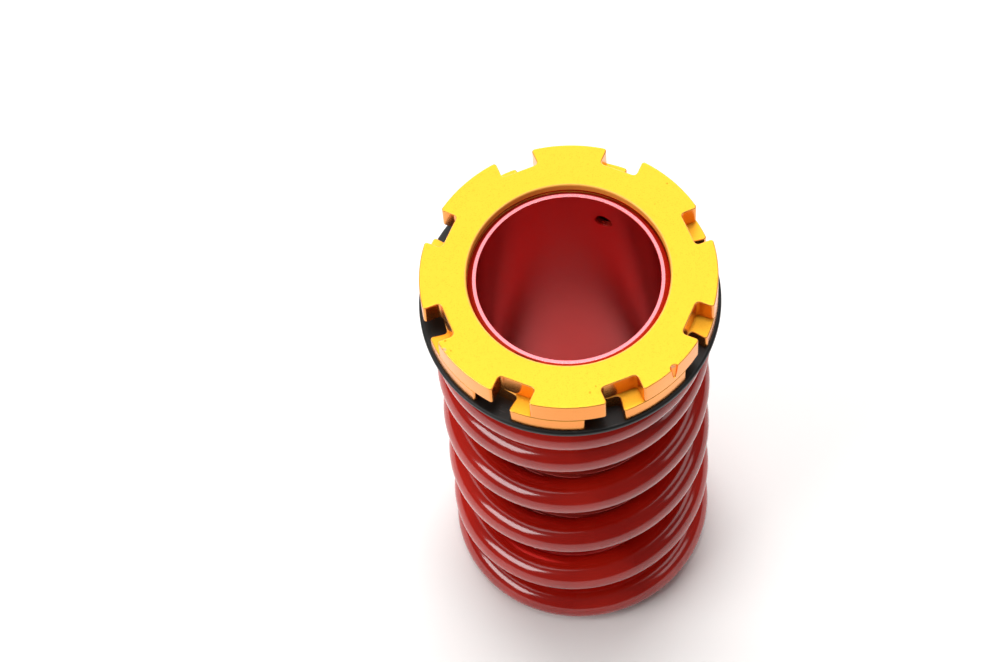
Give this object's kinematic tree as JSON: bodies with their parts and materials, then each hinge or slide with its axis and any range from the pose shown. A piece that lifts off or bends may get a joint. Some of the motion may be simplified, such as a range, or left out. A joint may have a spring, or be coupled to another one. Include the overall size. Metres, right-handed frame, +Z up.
{
  "type": "coilover",
  "caption": "Sleeve coilover: a coil spring under a seat washer, slotted adjusting and lock collars on a threaded sleeve, and an open bore for a damper body.",
  "frame": {"origin": "centre of the spring's ground standing end, on the surface it stands on", "axes": "+Z up along the spring and sleeve, from the standing end of the spring to the collars; +X points at the spring's lower wire tip"},
  "size_m": [0.09, 0.09, 0.164],
  "materials": {
    "red_powder_coat": "gloss powder coat",
    "black_nylon": "satin",
    "gold_anodised": "satin anodised, gold",
    "red_anodised": "satin anodised, red",
    "black_rubber": "matt"
  },
  "bodies": {
    "spring": {"coil_spring": "red_powder_coat"},
    "washer": {"seat_washer": "black_nylon"},
    "adjuster": {"adjusting_collar": "gold_anodised"},
    "lock": {"lock_collar": "gold_anodised"},
    "sleeve": {"threaded_sleeve": "red_anodised", "rubber_ring_lower": "black_rubber", "rubber_ring_upper": "black_rubber"}
  },
  "joints": [
    {"name": "spring_compression", "type": "slide", "parent": "spring", "child": "washer", "axis": [0, 0, 1], "range_m": [-0.022, 0], "stiffness_N_per_m": 80000, "deforming": ["coil_spring"]},
    {"name": "collar_adjustment", "type": "hinge", "parent": "washer", "child": "adjuster", "pos_m": [0, 0, 0.1524], "axis": [0, 0, 1], "range_deg": [-15300, 0]},
    {"name": "lock_collar_release", "type": "hinge", "parent": "adjuster", "child": "lock", "pos_m": [0, 0, 0.1598], "axis": [0, 0, 1], "range_deg": [0, 30]},
    {"name": "sleeve_height", "type": "slide", "parent": "washer", "child": "sleeve", "axis": [0, 0, 1], "range_m": [0, 0.085]}
  ],
  "couplings": [
    {"joint": "sleeve_height", "follows": "collar_adjustment", "m_per_rad": -0.00031831}
  ]
}
